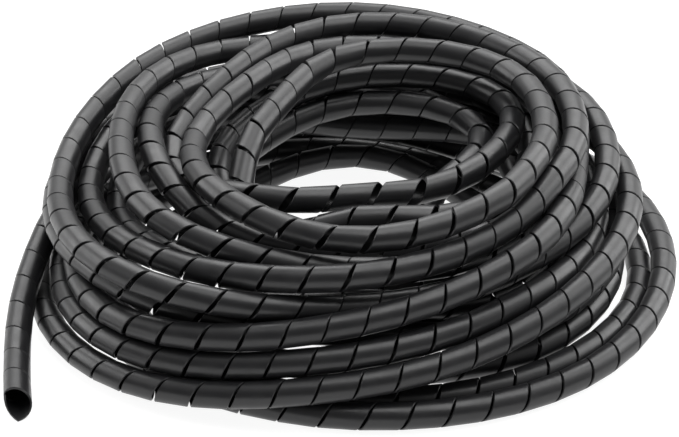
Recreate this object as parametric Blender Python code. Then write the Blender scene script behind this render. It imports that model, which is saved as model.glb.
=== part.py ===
"""A loose coil of black spiral cable wrap, lying on its side on a flat surface.

The wrap is one long tube, wound about eighteen times by hand. Its turns cross and lean on
each other, a wide opening stays in the middle, and one end lies free at the front left.
Metres, +Z up. The opening faces up, and the free end points to -Y.
"""

import bpy
import bmesh
import numpy as np
from math import radians
from mathutils import Vector

# Driving dimensions, in metres
TUBE_DIAMETER = 0.010
WALL = 0.0007
BORE_DEPTH = 0.015
COIL_DIAMETER = 0.250
GAP = 0.0003
POINT_SPACING = 0.016

# The route is drawn in millimetres for a 10 mm wrap in a coil 250 mm across
DRAWN_TUBE = 10.0
DRAWN_COIL = 250.0

# Azimuth of the eight places where each turn is given: left, front left, front, and so on
STATIONS = (180, 225, 270, 315, 360, 405, 450, 495)

# One row for each turn, in the order in which the wrap runs from its hidden inner end.
# Each pair is the distance from the coil's axis and the height above the floor.
TURNS = (
    ((98, 36), (97, 31), (76, 31), (80, 25.5), (82, 37.7), (88, 34), (83, 32), (102, 36)),
    ((93, 31), (80, 36), (70, 22), (82, 12), (82, 8), (74, 5), (87, 12), (80, 6)),
    ((92, 5), (94, 5), (101.3, 5), (107.3, 5), (112.5, 5), (113, 5), (106, 5), (100, 5)),
    ((100, 5), (108, 5), (113, 5), (117.5, 5), (120.5, 11.5), (123, 13), (117, 6), (112, 5)),
    ((122, 5), (122.5, 6.3), (109, 16), (102.5, 27.3), (106, 38.5), (107.5, 42.5), (112, 42), (114.5, 41)),
    ((117, 33), (109, 32), (83, 23), (94.3, 20.8), (99.5, 28), (106, 26), (92, 25), (103, 48.5)),
    ((103, 40), (98, 44), (90, 47), (79.5, 48), (86, 58.5), (95, 65), (95, 68), (72, 64)),
    ((69, 50), (46, 51), (30, 50.5), (37, 51), (53, 53), (79, 54), (72, 54), (62, 47)),
    ((52, 42), (44, 33), (32, 32), (30, 36), (33, 42), (67, 46), (68, 46), (59, 38)),
    ((62, 30), (60, 27), (59, 25), (60, 26), (66, 29), (78, 36), (90, 45), (90, 55)),
    ((78, 57.5), (69.5, 48), (63.5, 46), (63, 43.5), (73, 33), (94, 21), (107, 18), (118, 13)),
    ((115, 11.5), (118.5, 16.8), (104, 26), (91, 31.5), (92.7, 35.3), (99.5, 36.3), (100, 30), (109, 22)),
    ((104.5, 14.5), (108.5, 15.5), (90.5, 6.5), (97, 8.5), (99, 13.5), (86, 8), (97, 9), (96, 15)),
    ((108.5, 25), (117, 26.5), (98.5, 34), (88.5, 43), (84, 47.5), (104.5, 58.5), (110.5, 65.8), (111.3, 60.3)),
    ((113.5, 44), (115, 43), (86, 34.5), (80.5, 36), (95.5, 46), (109.5, 52.5), (108, 55), (101.5, 62.5)),
    ((91.5, 59.5), (92, 53), (76, 42), (72.5, 39.5), (73, 46), (90, 55), (83, 62), (59, 64)),
    ((61.5, 57.5), (70, 58.5), (79, 56), (75, 60.5), (73, 65.5), (76, 69), (62, 70), (41, 65)),
    ((42, 58), (54, 42), (45, 50), (54, 48), (64, 43), (88, 46), (99, 40), (113, 31)),
)

# Where the last length leaves the coil at the left: azimuth, distance from the axis, height
LEAVING = (
    (180, 119.5, 21.5),
    (188.4, 124.5, 16.5),
    (196.6, 131, 11.5),
    (205.1, 139, 6.5),
    (209.5, 143.5, 5),
)

# The free end lies straight on the floor between these two points, X, Y and Z
FREE_END = ((-123.6, -87.0, 5.0), (-120.4, -109.4, 5.0))

OBJECT_NAME = "spiral_cable_wrap"
NODE_NAME = "spiral_wrap"


def clear_scene():
    for old in list(bpy.data.objects):
        bpy.data.objects.remove(old, do_unlink=True)


def curve_through(stations, values, wanted):
    """Smooth curve through the values at the stations, with the slope of the parabola at each."""
    steps = np.diff(stations)[:, None]
    slopes = np.diff(values, axis=0) / steps
    tangents = np.empty_like(values)
    tangents[1:-1] = (slopes[:-1] * steps[1:] + slopes[1:] * steps[:-1]) / (steps[:-1] + steps[1:])
    tangents[0] = slopes[0]
    tangents[-1] = slopes[-1]
    span = np.clip(np.searchsorted(stations, wanted, side="right") - 1, 0, len(stations) - 2)
    width = steps[span]
    share = ((wanted - stations[span]) / width[:, 0])[:, None]
    rest = 1 - share
    start = (1 + 2 * share) * rest ** 2 * values[span] + share * rest ** 2 * width * tangents[span]
    end = (1 + 2 * rest) * share ** 2 * values[span + 1]
    return start + end - rest * share ** 2 * width * tangents[span + 1]


def evenly_spaced(points, spacing):
    """The same line with its points an equal length apart."""
    lengths = np.sqrt((np.diff(points, axis=0) ** 2).sum(axis=1))
    along = np.concatenate([[0.0], np.cumsum(lengths)])
    wanted = np.linspace(0.0, along[-1], int(round(along[-1] / spacing)) + 1)
    return np.stack([np.interp(wanted, along, points[:, axis]) for axis in range(3)], axis=1)


def drawn_route():
    """The route through the stations, in metres, before the turns make room for each other."""
    stations = []
    for turn_number, turn in enumerate(TURNS):
        for azimuth, (radius, height) in zip(STATIONS, turn):
            stations.append((azimuth + 360 * turn_number, radius, height))
    for azimuth, radius, height in LEAVING:
        stations.append((azimuth + 360 * len(TURNS), radius, height))
    stations = np.array(stations[1:], float)
    azimuths = np.arange(stations[0, 0], stations[-1, 0], 1.0)
    values = curve_through(stations[:, 0], stations[:, 1:], azimuths)
    angles = np.radians(azimuths)
    line = np.stack([values[:, 0] * np.cos(angles), values[:, 0] * np.sin(angles), values[:, 1]], axis=1)
    line = np.concatenate([line, np.array(FREE_END)])
    line[:, :2] *= COIL_DIAMETER / DRAWN_COIL
    line[:, 2] *= TUBE_DIAMETER / DRAWN_TUBE
    return evenly_spaced(line, POINT_SPACING)


def closest_shares(points, first, second):
    """How far along each of two stretches their closest points lie, from 0 to 1."""
    along_first = points[first + 1] - points[first]
    along_second = points[second + 1] - points[second]
    between = points[first] - points[second]
    a = (along_first * along_first).sum(axis=1)
    b = (along_first * along_second).sum(axis=1)
    c = (along_second * along_second).sum(axis=1)
    d = (along_first * between).sum(axis=1)
    e = (along_second * between).sum(axis=1)
    spread = a * c - b * b
    askew = spread > 1e-9 * a * c
    on_first = np.where(askew, (b * e - c * d) / np.where(askew, spread, 1.0), 0.5)
    on_first = np.clip(on_first, 0, 1)
    on_second = np.clip((b * on_first + e) / c, 0, 1)
    on_first = np.clip((b * on_second - d) / a, 0, 1)
    return on_first[:, None], on_second[:, None]


def settled(drawn):
    """Turns pushed apart until none comes nearer to another than a diameter and the gap."""
    apart = TUBE_DIAMETER + GAP
    points = drawn.copy()
    firsts, seconds = np.triu_indices(len(points) - 1, 3)
    for round_number in range(600):
        if round_number % 6 == 0:
            middles = (points[1:] + points[:-1]) / 2
            reach = POINT_SPACING + 1.6 * apart
            near = ((middles[firsts] - middles[seconds]) ** 2).sum(axis=1) < reach ** 2
            first = firsts[near]
            second = seconds[near]
        on_first, on_second = closest_shares(points, first, second)
        from_first = points[first] + on_first * (points[first + 1] - points[first])
        from_second = points[second] + on_second * (points[second + 1] - points[second])
        away = from_first - from_second
        distance = np.sqrt((away ** 2).sum(axis=1))[:, None]
        short = np.maximum(apart - distance, 0)
        if round_number > 210 and short.max() < 0.02 * GAP:
            break
        push = 0.5 * short * away / np.maximum(distance, 1e-9)
        moves = np.zeros_like(points)
        shares = np.zeros((len(points), 1))
        ends = (
            (first, 1 - on_first, 1),
            (first + 1, on_first, 1),
            (second, 1 - on_second, -1),
            (second + 1, on_second, -1),
        )
        for index, share, sign in ends:
            np.add.at(moves, index, sign * push * share)
            np.add.at(shares, index, share * (short > 0))
        points += 1.2 * moves / np.maximum(shares, 1)
        if round_number < 180:
            shift = points - drawn
            shift[1:-1] += 0.5 * (0.5 * (shift[2:] + shift[:-2]) - shift[1:-1])
            points = drawn + shift
        points[:, 2] = np.maximum(points[:, 2], TUBE_DIAMETER / 2)
    return points


def collection_named(name):
    found = bpy.data.collections.get(name) or bpy.data.collections.new(name)
    if name not in bpy.context.scene.collection.children:
        bpy.context.scene.collection.children.link(found)
    return found


def black_polyethylene():
    material = bpy.data.materials.new("black_polyethylene")
    material.use_nodes = True
    shader = material.node_tree.nodes["Principled BSDF"]
    shader.inputs["Base Color"].default_value = (0.012, 0.012, 0.013, 1.0)
    shader.inputs["Roughness"].default_value = 0.38
    shader.inputs["Metallic"].default_value = 0.0
    material.diffuse_color = (0.05, 0.05, 0.055, 1.0)
    return material


def wrap_tube(points, collection):
    """The whole wrap as one eight-sided tube along the route, made a mesh."""
    curve = bpy.data.curves.new("wrap_line", "CURVE")
    curve.dimensions = "3D"
    curve.bevel_depth = TUBE_DIAMETER / 2
    curve.bevel_resolution = 2
    curve.use_fill_caps = True
    spline = curve.splines.new("POLY")
    spline.points.add(len(points) - 1)
    for spline_point, point in zip(spline.points, points):
        spline_point.co = (point[0], point[1], point[2], 1.0)
    line = bpy.data.objects.new("wrap_line", curve)
    collection.objects.link(line)
    bpy.context.view_layer.update()
    evaluated = line.evaluated_get(bpy.context.evaluated_depsgraph_get())
    mesh = bpy.data.meshes.new_from_object(evaluated)
    mesh.name = NODE_NAME
    welded = bmesh.new()
    welded.from_mesh(mesh)
    bmesh.ops.remove_doubles(welded, verts=welded.verts, dist=0.00001)
    welded.to_mesh(mesh)
    welded.free()
    tube = bpy.data.objects.new(NODE_NAME, mesh)
    tube.matrix_world = line.matrix_world
    collection.objects.link(tube)
    bpy.data.objects.remove(line, do_unlink=True)
    bpy.data.curves.remove(curve)
    return tube


def bore_end(tube, tip, inner, name, collection):
    """Open an end of the tube to its bore, for a short depth."""
    inward = Vector(inner - tip).normalized()
    overshoot = TUBE_DIAMETER / 2
    bpy.ops.mesh.primitive_cylinder_add(
        vertices=8,
        radius=TUBE_DIAMETER / 2 - WALL,
        depth=BORE_DEPTH + overshoot,
        location=Vector(tip) + inward * (BORE_DEPTH - overshoot) / 2,
        rotation=inward.to_track_quat("Z", "Y").to_euler(),
    )
    cutter = bpy.context.object
    cutter.name = name
    for linked in list(cutter.users_collection):
        linked.objects.unlink(cutter)
    collection.objects.link(cutter)
    cutter.hide_render = True
    cutter.display_type = "WIRE"
    cut = tube.modifiers.new(name, "BOOLEAN")
    cut.operation = "DIFFERENCE"
    cut.solver = "EXACT"
    cut.object = cutter


def stand_on_origin(tube, cutters):
    """Put the origin under the middle of the coil's box, on the floor."""
    corners = np.empty(3 * len(tube.data.vertices))
    tube.data.vertices.foreach_get("co", corners)
    corners = corners.reshape(-1, 3)
    low = corners.min(axis=0)
    high = corners.max(axis=0)
    shift = np.array([(low[0] + high[0]) / 2, (low[1] + high[1]) / 2, low[2]])
    for piece in [tube] + list(cutters):
        piece.location = [piece.location[axis] - shift[axis] for axis in range(3)]


def main():
    clear_scene()
    parts = collection_named(OBJECT_NAME)
    cutters = collection_named("cutters")
    points = settled(drawn_route())
    tube = wrap_tube(points, parts)
    tube.data.materials.clear()
    tube.data.materials.append(black_polyethylene())
    tube.data.shade_smooth()
    tube.data.set_sharp_from_angle(angle=radians(50))
    bore_end(tube, points[-1], points[-2], "free_end_bore", cutters)
    stand_on_origin(tube, cutters.objects)
    lengths = np.sqrt((np.diff(points, axis=0) ** 2).sum(axis=1))
    print("length of the wrap", round(float(lengths.sum()), 3), "m in", len(points), "points")


main()
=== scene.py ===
"""The looks of a loose coil of black spiral cable wrap, around its CAD tube.

The CAD node is one plain tube along the route. Here the same route carries the real wrap:
a thin strip wound left-handed into a tube, with its cut open on the outside of each bend.
"""

from math import cos, pi, radians, sin

import bpy
import numpy as np
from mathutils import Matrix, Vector


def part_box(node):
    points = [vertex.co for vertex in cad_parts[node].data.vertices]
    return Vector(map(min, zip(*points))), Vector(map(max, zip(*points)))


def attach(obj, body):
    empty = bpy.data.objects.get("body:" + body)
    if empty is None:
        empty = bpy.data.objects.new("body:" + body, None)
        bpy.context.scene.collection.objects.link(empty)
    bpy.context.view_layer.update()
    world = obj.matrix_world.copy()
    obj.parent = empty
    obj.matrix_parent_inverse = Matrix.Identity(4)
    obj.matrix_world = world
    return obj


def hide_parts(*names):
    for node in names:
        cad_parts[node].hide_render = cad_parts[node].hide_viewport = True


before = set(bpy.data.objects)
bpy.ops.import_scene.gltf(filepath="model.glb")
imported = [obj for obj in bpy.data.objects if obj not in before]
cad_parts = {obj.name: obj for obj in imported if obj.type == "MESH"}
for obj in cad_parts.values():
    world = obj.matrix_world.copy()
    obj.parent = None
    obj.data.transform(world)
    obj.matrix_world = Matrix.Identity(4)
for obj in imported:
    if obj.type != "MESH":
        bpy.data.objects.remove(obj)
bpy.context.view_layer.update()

NODE = "spiral_wrap"

# Sizes of the wrap, in metres
TUBE_DIAMETER = 0.010
WALL = 0.0007
STRIP_WIDTH = 0.0139
CLOSED_GAP = 0.00012
EDGE_ROUNDING = 0.00028
STEPS_PER_TURN = 22

# The shortest step, as a share of a whole one, that is left at either end of the strip
SHORTEST_STEP = 0.2

# A strip this much narrower can close up on the inside of a bend before the cut opens outside
SQUEEZE = 0.018

# Where the wrap has been pulled longer and its cut gapes: turn number, reach in turns on both
# sides of it, and the share of its length that is added at the middle
PULLED = (
    (7.28, 0.14, 0.20),
)

# The cut across the free end of the strip: where its point is round the tube, how far the
# point stays short of the end of the tube, and the share of a turn over which the cut runs
POINT_DIRECTION = (-0.12, 0.0, -0.99)
POINT_INSET = 0.0010
SLANT_TURN = 0.27

# The share of the slanted cut that is drawn, so that the strip doesn't end in a blade
SLANT_DRAWN = 0.97

# Sizes of the coil, in metres
COIL_DIAMETER = 0.250
GAP = 0.0003
POINT_SPACING = 0.016

# How the turns make room for each other: the most and the fewest rounds, the rounds in which
# the moves are kept smooth along the route, how often the near stretches are looked up and
# within how many diameters, the share of each push that is taken, and the share of the gap
# that may be left short
MOST_ROUNDS = 600
FEWEST_ROUNDS = 210
SMOOTH_ROUNDS = 180
LOOK_UP_EVERY = 6
LOOK_UP_REACH = 1.6
PUSH = 1.2
LEFT_SHORT = 0.02

# Points drawn on each span of the smooth centre line, the half width over which its bend is
# evened out, and the points of the path that is given for the cord
SPAN_POINTS = 16
BEND_HALF_WIDTH = 12

# The camera that gives the photograph's view: degrees above the floor, metres from its
# target, and focal length and sensor width in millimetres
CAMERA_ELEVATION = 27.0
CAMERA_DISTANCE = 0.930
CAMERA_TARGET = (-0.0065, 0.0, 0.0263)
CAMERA_LENS = 125.7
SENSOR_WIDTH = 36.0

# The wrap's colour, the range of its roughness, and how fine its clouds and its grain are
BLACK = (0.011, 0.011, 0.012, 1.0)
ROUGHNESS = (0.30, 0.42)
CLOUD_SCALE = 160.0
GRAIN_SCALE = 900.0

# The pale floor: its grey, its own glow and its size in metres
FLOOR_GREY = 0.25
FLOOR_GLOW = 0.92
FLOOR_SIZE = 8.0

# The studio's light: brightest towards this direction, and its darkest and brightest strength
BRIGHT_DIRECTION = (0.25, 0.80, 0.55)
STUDIO_STRENGTH = (0.17, 0.80)

# Soft lamps that face the middle of the coil: place, size and power in watts
LAMPS = (
    ("back", (-0.1, 0.75, 0.9), (1.6, 0.6), 11.0),
    ("top", (0.3, -0.1, 1.2), (1.0, 0.8), 8.0),
    ("left", (-1.0, 0.25, 0.35), (0.5, 0.7), 4.0),
    ("right", (1.0, 0.5, 0.6), (0.8, 0.8), 8.0),
)

# The route is drawn in millimetres for a 10 mm wrap in a coil 250 mm across
DRAWN_TUBE = 10.0
DRAWN_COIL = 250.0

# Azimuth of the eight places where each turn is given: left, front left, front, and so on
STATIONS = (180, 225, 270, 315, 360, 405, 450, 495)

# One row for each turn, in the order in which the wrap runs from its hidden inner end.
# Each pair is the distance from the coil's axis and the height above the floor.
TURNS = (
    ((98, 36), (97, 31), (76, 31), (80, 25.5), (82, 37.7), (88, 34), (83, 32), (102, 36)),
    ((93, 31), (80, 36), (70, 22), (82, 12), (82, 8), (74, 5), (87, 12), (80, 6)),
    ((92, 5), (94, 5), (101.3, 5), (107.3, 5), (112.5, 5), (113, 5), (106, 5), (100, 5)),
    ((100, 5), (108, 5), (113, 5), (117.5, 5), (120.5, 11.5), (123, 13), (117, 6), (112, 5)),
    ((122, 5), (122.5, 6.3), (109, 16), (102.5, 27.3),
     (106, 38.5), (107.5, 42.5), (112, 42), (114.5, 41)),
    ((117, 33), (109, 32), (83, 23), (94.3, 20.8), (99.5, 28), (106, 26), (92, 25), (103, 48.5)),
    ((103, 40), (98, 44), (90, 47), (79.5, 48), (86, 58.5), (95, 65), (95, 68), (72, 64)),
    ((69, 50), (46, 51), (30, 50.5), (37, 51), (53, 53), (79, 54), (72, 54), (62, 47)),
    ((52, 42), (44, 33), (32, 32), (30, 36), (33, 42), (67, 46), (68, 46), (59, 38)),
    ((62, 30), (60, 27), (59, 25), (60, 26), (66, 29), (78, 36), (90, 45), (90, 55)),
    ((78, 57.5), (69.5, 48), (63.5, 46), (63, 43.5), (73, 33), (94, 21), (107, 18), (118, 13)),
    ((115, 11.5), (118.5, 16.8), (104, 26), (91, 31.5),
     (92.7, 35.3), (99.5, 36.3), (100, 30), (109, 22)),
    ((104.5, 14.5), (108.5, 15.5), (90.5, 6.5), (97, 8.5), (99, 13.5), (86, 8), (97, 9), (96, 15)),
    ((108.5, 25), (117, 26.5), (98.5, 34), (88.5, 43),
     (84, 47.5), (104.5, 58.5), (110.5, 65.8), (111.3, 60.3)),
    ((113.5, 44), (115, 43), (86, 34.5), (80.5, 36),
     (95.5, 46), (109.5, 52.5), (108, 55), (101.5, 62.5)),
    ((91.5, 59.5), (92, 53), (76, 42), (72.5, 39.5), (73, 46), (90, 55), (83, 62), (59, 64)),
    ((61.5, 57.5), (70, 58.5), (79, 56), (75, 60.5), (73, 65.5), (76, 69), (62, 70), (41, 65)),
    ((42, 58), (54, 42), (45, 50), (54, 48), (64, 43), (88, 46), (99, 40), (113, 31)),
)

# Where the last length leaves the coil at the left: azimuth, distance from the axis, height
LEAVING = (
    (180, 119.5, 21.5),
    (188.4, 124.5, 16.5),
    (196.6, 131, 11.5),
    (205.1, 139, 6.5),
    (209.5, 143.5, 5),
)

# The free end lies straight on the floor between these two points, X, Y and Z
FREE_END = ((-123.6, -87.0, 5.0), (-120.4, -109.4, 5.0))


def curve_through(stations, values, wanted):
    """Smooth curve through the values at the stations, with the slope of the parabola at each."""
    steps = np.diff(stations)[:, None]
    slopes = np.diff(values, axis=0) / steps
    tangents = np.empty_like(values)
    tangents[1:-1] = (slopes[:-1] * steps[1:] + slopes[1:] * steps[:-1]) / (steps[:-1] + steps[1:])
    tangents[0] = slopes[0]
    tangents[-1] = slopes[-1]
    span = np.clip(np.searchsorted(stations, wanted, side="right") - 1, 0, len(stations) - 2)
    width = steps[span]
    share = ((wanted - stations[span]) / width[:, 0])[:, None]
    rest = 1 - share
    start = (1 + 2 * share) * rest ** 2 * values[span] + share * rest ** 2 * width * tangents[span]
    end = (1 + 2 * rest) * share ** 2 * values[span + 1]
    return start + end - rest * share ** 2 * width * tangents[span + 1]


def evenly_spaced(points, spacing):
    """The same line with its points an equal length apart."""
    lengths = np.sqrt((np.diff(points, axis=0) ** 2).sum(axis=1))
    along = np.concatenate([[0.0], np.cumsum(lengths)])
    wanted = np.linspace(0.0, along[-1], int(round(along[-1] / spacing)) + 1)
    return np.stack([np.interp(wanted, along, points[:, axis]) for axis in range(3)], axis=1)


def drawn_route():
    """The route through the stations, in metres, before the turns make room for each other."""
    stations = []
    for turn_number, turn in enumerate(TURNS):
        for azimuth, (radius, height) in zip(STATIONS, turn):
            stations.append((azimuth + 360 * turn_number, radius, height))
    for azimuth, radius, height in LEAVING:
        stations.append((azimuth + 360 * len(TURNS), radius, height))
    stations = np.array(stations[1:], float)
    azimuths = np.arange(stations[0, 0], stations[-1, 0], 1.0)
    values = curve_through(stations[:, 0], stations[:, 1:], azimuths)
    angles = np.radians(azimuths)
    line = np.stack(
        [values[:, 0] * np.cos(angles), values[:, 0] * np.sin(angles), values[:, 1]], axis=1
    )
    line = np.concatenate([line, np.array(FREE_END)])
    line[:, :2] *= COIL_DIAMETER / DRAWN_COIL
    line[:, 2] *= TUBE_DIAMETER / DRAWN_TUBE
    return evenly_spaced(line, POINT_SPACING)


def closest_shares(points, first, second):
    """How far along each of two stretches their closest points lie, from 0 to 1."""
    along_first = points[first + 1] - points[first]
    along_second = points[second + 1] - points[second]
    between = points[first] - points[second]
    a = (along_first * along_first).sum(axis=1)
    b = (along_first * along_second).sum(axis=1)
    c = (along_second * along_second).sum(axis=1)
    d = (along_first * between).sum(axis=1)
    e = (along_second * between).sum(axis=1)
    spread = a * c - b * b
    askew = spread > 1e-9 * a * c
    on_first = np.where(askew, (b * e - c * d) / np.where(askew, spread, 1.0), 0.5)
    on_first = np.clip(on_first, 0, 1)
    on_second = np.clip((b * on_first + e) / c, 0, 1)
    on_first = np.clip((b * on_second - d) / a, 0, 1)
    return on_first[:, None], on_second[:, None]


def settled(drawn):
    """Turns pushed apart until none comes nearer to another than a diameter and the gap."""
    apart = TUBE_DIAMETER + GAP
    points = drawn.copy()
    firsts, seconds = np.triu_indices(len(points) - 1, 3)
    for round_number in range(MOST_ROUNDS):
        if round_number % LOOK_UP_EVERY == 0:
            middles = (points[1:] + points[:-1]) / 2
            reach = POINT_SPACING + LOOK_UP_REACH * apart
            near = ((middles[firsts] - middles[seconds]) ** 2).sum(axis=1) < reach ** 2
            first = firsts[near]
            second = seconds[near]
        on_first, on_second = closest_shares(points, first, second)
        from_first = points[first] + on_first * (points[first + 1] - points[first])
        from_second = points[second] + on_second * (points[second + 1] - points[second])
        away = from_first - from_second
        distance = np.sqrt((away ** 2).sum(axis=1))[:, None]
        short = np.maximum(apart - distance, 0)
        if round_number > FEWEST_ROUNDS and short.max() < LEFT_SHORT * GAP:
            break
        push = 0.5 * short * away / np.maximum(distance, 1e-9)
        moves = np.zeros_like(points)
        shares = np.zeros((len(points), 1))
        ends = (
            (first, 1 - on_first, 1),
            (first + 1, on_first, 1),
            (second, 1 - on_second, -1),
            (second + 1, on_second, -1),
        )
        for index, share, sign in ends:
            np.add.at(moves, index, sign * push * share)
            np.add.at(shares, index, share * (short > 0))
        points += PUSH * moves / np.maximum(shares, 1)
        if round_number < SMOOTH_ROUNDS:
            shift = points - drawn
            shift[1:-1] += 0.5 * (0.5 * (shift[2:] + shift[:-2]) - shift[1:-1])
            points = drawn + shift
        points[:, 2] = np.maximum(points[:, 2], TUBE_DIAMETER / 2)
    return points


def unit(vectors):
    return vectors / np.sqrt((vectors ** 2).sum(axis=-1, keepdims=True))


def smooth_line(points):
    """A smooth line close to the points."""
    bend = np.zeros_like(points)
    bend[1:-1] = points[2:] - 2 * points[1:-1] + points[:-2]
    knots = points - bend / 6
    knots = np.concatenate([[2 * knots[0] - knots[1]], knots, [2 * knots[-1] - knots[-2]]])
    share = (np.arange(SPAN_POINTS) / SPAN_POINTS)[:, None]
    weights = (
        (1 - share) ** 3 / 6,
        (3 * share ** 3 - 6 * share ** 2 + 4) / 6,
        (-3 * share ** 3 + 3 * share ** 2 + 3 * share + 1) / 6,
        share ** 3 / 6,
    )
    spans = len(knots) - 3
    line = sum(
        weight[None] * knots[number:number + spans, None]
        for number, weight in enumerate(weights)
    )
    line = line.reshape(-1, 3)
    last = (knots[-3] + 4 * knots[-2] + knots[-1]) / 6
    return np.concatenate([line, [last]])


def carried_frames(line):
    """A direction square to the line at each point, carried along it without twisting."""
    tangents = unit(np.gradient(line, axis=0))
    normals = np.empty_like(line)
    normals[0] = unit(np.cross(tangents[0], (0.0, 0.0, 1.0)))
    for number in range(1, len(line)):
        normal = normals[number - 1]
        normal = normal - tangents[number] * (normal @ tangents[number])
        normals[number] = normal / np.sqrt(normal @ normal)
    return tangents, normals, np.cross(tangents, normals)


def smoothed(values, half_width):
    window = np.hanning(2 * half_width + 1)
    padded = np.pad(values, half_width, mode="edge")
    return np.convolve(padded, window / window.sum(), mode="valid")


class Line:
    """The centre line with its frames, read at any length along it, a little beyond it too."""

    def __init__(self, points):
        line = smooth_line(points)
        steps = np.sqrt((np.diff(line, axis=0) ** 2).sum(axis=1))
        self.along = np.concatenate([[0.0], np.cumsum(steps)])
        self.length = self.along[-1]
        self.points = line
        self.tangents, self.normals, self.sides = carried_frames(line)
        azimuths = np.degrees(np.unwrap(np.arctan2(line[:, 1], line[:, 0])))
        self.turn = (azimuths - azimuths[0] + STATIONS[1] - STATIONS[0]) / 360
        turning = np.gradient(self.tangents, self.along, axis=0)
        self.bend = np.stack(
            [smoothed(turning[:, axis], BEND_HALF_WIDTH) for axis in range(3)], axis=1
        )

    def read(self, values, wanted):
        return np.stack(
            [np.interp(wanted, self.along, values[:, axis]) for axis in range(3)], axis=1
        )

    def at(self, wanted):
        tangents = unit(self.read(self.tangents, wanted))
        beyond = wanted - np.clip(wanted, 0, self.length)
        centres = self.read(self.points, wanted) + beyond[:, None] * tangents
        normals = unit(self.read(self.normals, wanted))
        sides = unit(self.read(self.sides, wanted))
        return centres, tangents, normals, sides


def strip_pitch(line):
    """Length of the line that each turn of the strip takes. The cut opens where the wrap
    bends and where it has been pulled longer."""
    bending = TUBE_DIAMETER / 2 * np.sqrt((line.bend ** 2).sum(axis=1))
    longer = np.maximum(0, bending - SQUEEZE)
    for middle, reach, share in PULLED:
        away = (line.turn - middle) / reach
        longer += share * np.clip(1 - away ** 2, 0, 1) ** 2
    return STRIP_WIDTH * (1 + longer) + CLOSED_GAP


def wrap_strip(line):
    """The strip of the wrap as one closed mesh, wound left-handed along the line. Its cut is
    closed on the inside of a bend, open on the outside, and ends in a slanted point."""
    radius = TUBE_DIAMETER / 2
    half = STRIP_WIDTH / 2
    pitch = strip_pitch(line)
    steps = np.diff(line.along)
    turns = np.concatenate([[0.0], np.cumsum(steps * (1 / pitch[1:] + 1 / pitch[:-1]) / 2)])

    reach = half - 2 * EDGE_ROUNDING
    along = np.concatenate([[-reach], line.along, [line.length + STRIP_WIDTH]])
    turned = np.concatenate([[-reach / pitch[0]], turns, [turns[-1] + STRIP_WIDTH / pitch[-1]]])
    point = np.interp(line.length - POINT_INSET - half, along, turned)
    first = turned[0] * STEPS_PER_TURN
    last = (point + SLANT_DRAWN * SLANT_TURN) * STEPS_PER_TURN
    whole_steps = np.arange(np.ceil(first + SHORTEST_STEP), last - SHORTEST_STEP)
    marks = np.concatenate([[first], whole_steps, [last]])
    marks = np.sort(np.concatenate([marks / STEPS_PER_TURN, [point]]))
    centre_along = np.interp(marks, turned, along)
    centres, tangents, normals, sides = line.at(centre_along)

    tip = int(np.argmin(np.abs(marks - point)))
    direction = np.array(POINT_DIRECTION)
    at_tip = np.arctan2(direction @ sides[tip], direction @ normals[tip])
    angle = at_tip - 2 * pi * (marks - point)
    out = np.cos(angle)[:, None] * normals + np.sin(angle)[:, None] * sides

    bend = line.read(line.bend, centre_along)
    room = np.interp(centre_along, line.along, pitch) * (1 - radius * (bend * out).sum(axis=1))
    half_here = np.minimum(half, (room - CLOSED_GAP) / 2)
    cut_back = np.clip((marks - point) / SLANT_TURN, 0, 1)
    low = np.maximum(-half_here, -centre_along)
    high = half_here - cut_back * STRIP_WIDTH

    rounding = EDGE_ROUNDING
    inner = radius - WALL
    profile = (
        (low, radius - rounding),
        (low + rounding, radius),
        (high - rounding, radius),
        (high, radius - rounding),
        (high, inner),
        (low, inner),
    )
    rings = [
        centres + distance * out + across[:, None] * tangents
        for across, distance in profile
    ]
    count = len(profile)
    vertices = np.stack(rings, axis=1).reshape(-1, 3)
    section = np.arange(count)
    following = np.roll(section, -1)
    base = (np.arange(len(marks) - 1) * count)[:, None]
    quads = np.stack(
        [base + section, base + count + section, base + count + following, base + following],
        axis=2,
    ).reshape(-1, 4)
    faces = quads.tolist()
    faces.append(list(range(count)))
    faces.append([len(vertices) - 1 - number for number in range(count)])
    mesh = bpy.data.meshes.new("spiral_strip")
    mesh.from_pydata(vertices.tolist(), [], faces)
    mesh.update()
    return mesh, marks[-1] - marks[0]


def add_camera(shift):
    data = bpy.data.cameras.new("camera")
    data.sensor_width = SENSOR_WIDTH
    data.lens = CAMERA_LENS
    data.clip_start = 0.01
    data.clip_end = 20.0
    camera = bpy.data.objects.new("camera", data)
    bpy.context.scene.collection.objects.link(camera)
    tilt = radians(CAMERA_ELEVATION)
    back = Vector((0.0, -cos(tilt), sin(tilt)))
    camera.location = Vector(CAMERA_TARGET) - Vector(shift) + back * CAMERA_DISTANCE
    camera.rotation_euler = (-back).to_track_quat("-Z", "Y").to_euler()
    bpy.context.scene.camera = camera


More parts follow.
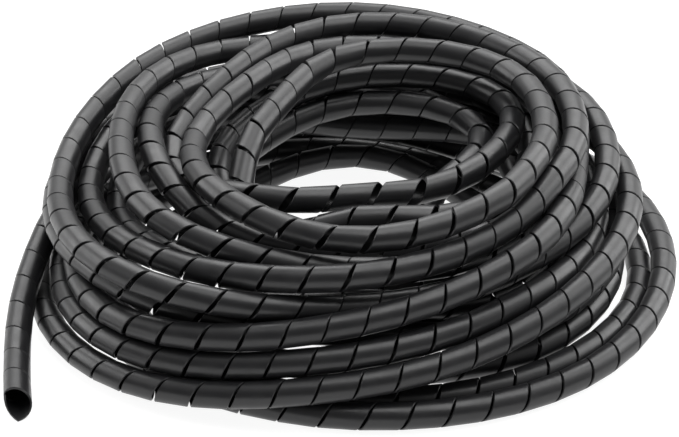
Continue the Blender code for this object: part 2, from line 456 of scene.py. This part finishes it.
def black_polyethylene():
    material = bpy.data.materials.new("black_polyethylene_look")
    material.use_nodes = True
    nodes = material.node_tree.nodes
    links = material.node_tree.links
    shader = nodes["Principled BSDF"]
    shader.inputs["Base Color"].default_value = BLACK
    shader.inputs["IOR"].default_value = 1.51
    place = nodes.new("ShaderNodeTexCoord")
    cloud = nodes.new("ShaderNodeTexNoise")
    cloud.inputs["Scale"].default_value = CLOUD_SCALE
    cloud.inputs["Detail"].default_value = 3.0
    spread = nodes.new("ShaderNodeMapRange")
    spread.inputs["From Min"].default_value = 0.3
    spread.inputs["From Max"].default_value = 0.7
    spread.inputs["To Min"].default_value = ROUGHNESS[0]
    spread.inputs["To Max"].default_value = ROUGHNESS[1]
    grain = nodes.new("ShaderNodeTexNoise")
    grain.inputs["Scale"].default_value = GRAIN_SCALE
    grain.inputs["Detail"].default_value = 2.0
    bump = nodes.new("ShaderNodeBump")
    bump.inputs["Strength"].default_value = 0.10
    bump.inputs["Distance"].default_value = 0.0002
    links.new(place.outputs["Object"], cloud.inputs["Vector"])
    links.new(place.outputs["Object"], grain.inputs["Vector"])
    links.new(cloud.outputs["Fac"], spread.inputs["Value"])
    links.new(spread.outputs["Result"], shader.inputs["Roughness"])
    links.new(grain.outputs["Fac"], bump.inputs["Height"])
    links.new(bump.outputs["Normal"], shader.inputs["Normal"])
    return material


def add_floor():
    bpy.ops.mesh.primitive_plane_add(size=FLOOR_SIZE, location=(0.0, 0.0, -0.0002))
    floor = bpy.context.object
    floor.name = "floor"
    material = bpy.data.materials.new("pale_floor")
    material.use_nodes = True
    shader = material.node_tree.nodes["Principled BSDF"]
    shader.inputs["Base Color"].default_value = (FLOOR_GREY, FLOOR_GREY, FLOOR_GREY, 1.0)
    shader.inputs["Roughness"].default_value = 0.9
    shader.inputs["Specular IOR Level"].default_value = 0.1
    shader.inputs["Emission Color"].default_value = (1.0, 1.0, 1.0, 1.0)
    shader.inputs["Emission Strength"].default_value = FLOOR_GLOW
    floor.data.materials.append(material)


def add_lamp(name, location, size, power):
    data = bpy.data.lights.new(name, "AREA")
    data.shape = "RECTANGLE"
    data.size = size[0]
    data.size_y = size[1]
    data.energy = power
    lamp = bpy.data.objects.new(name, data)
    bpy.context.scene.collection.objects.link(lamp)
    lamp.location = location
    direction = -Vector(location)
    lamp.rotation_euler = direction.to_track_quat("-Z", "Y").to_euler()


def add_light():
    world = bpy.data.worlds.new("studio")
    world.use_nodes = True
    nodes = world.node_tree.nodes
    links = world.node_tree.links
    background = nodes["Background"]
    background.inputs["Color"].default_value = (1.0, 1.0, 1.0, 1.0)
    place = nodes.new("ShaderNodeTexCoord")
    towards = nodes.new("ShaderNodeVectorMath")
    towards.operation = "DOT_PRODUCT"
    towards.inputs[1].default_value = BRIGHT_DIRECTION
    spread = nodes.new("ShaderNodeMapRange")
    spread.inputs["From Min"].default_value = -0.3
    spread.inputs["From Max"].default_value = 0.9
    spread.inputs["To Min"].default_value = STUDIO_STRENGTH[0]
    spread.inputs["To Max"].default_value = STUDIO_STRENGTH[1]
    links.new(place.outputs["Generated"], towards.inputs[0])
    links.new(towards.outputs["Value"], spread.inputs["Value"])
    links.new(spread.outputs["Result"], background.inputs["Strength"])
    bpy.context.scene.world = world
    bpy.context.scene.view_settings.view_transform = "Standard"
    for name, location, size, power in LAMPS:
        add_lamp(name, location, size, power)


route = settled(drawn_route())
line = Line(route)

# The route's own axis lies off the middle of the coil's box, where the origin is
cad_low, cad_high = (np.array(corner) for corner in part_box(NODE))
route_middle = (route.min(axis=0) + route.max(axis=0)) / 2
cad_middle = (cad_low + cad_high) / 2
shift = np.array([route_middle[0] - cad_middle[0], route_middle[1] - cad_middle[1], 0.0])

add_camera(shift)
line.points -= shift

strip_mesh, strip_turns = wrap_strip(line)
strip_mesh.materials.append(black_polyethylene())
strip_mesh.shade_smooth()
strip_mesh.set_sharp_from_angle(angle=radians(30))
wrap = bpy.data.objects.new("wrap", strip_mesh)
bpy.context.scene.collection.objects.link(wrap)
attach(wrap, "root")
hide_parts(NODE)

add_floor()
add_light()

print("wrap", round(line.length, 3), "m,", round(strip_turns, 1), "turns of the cut")
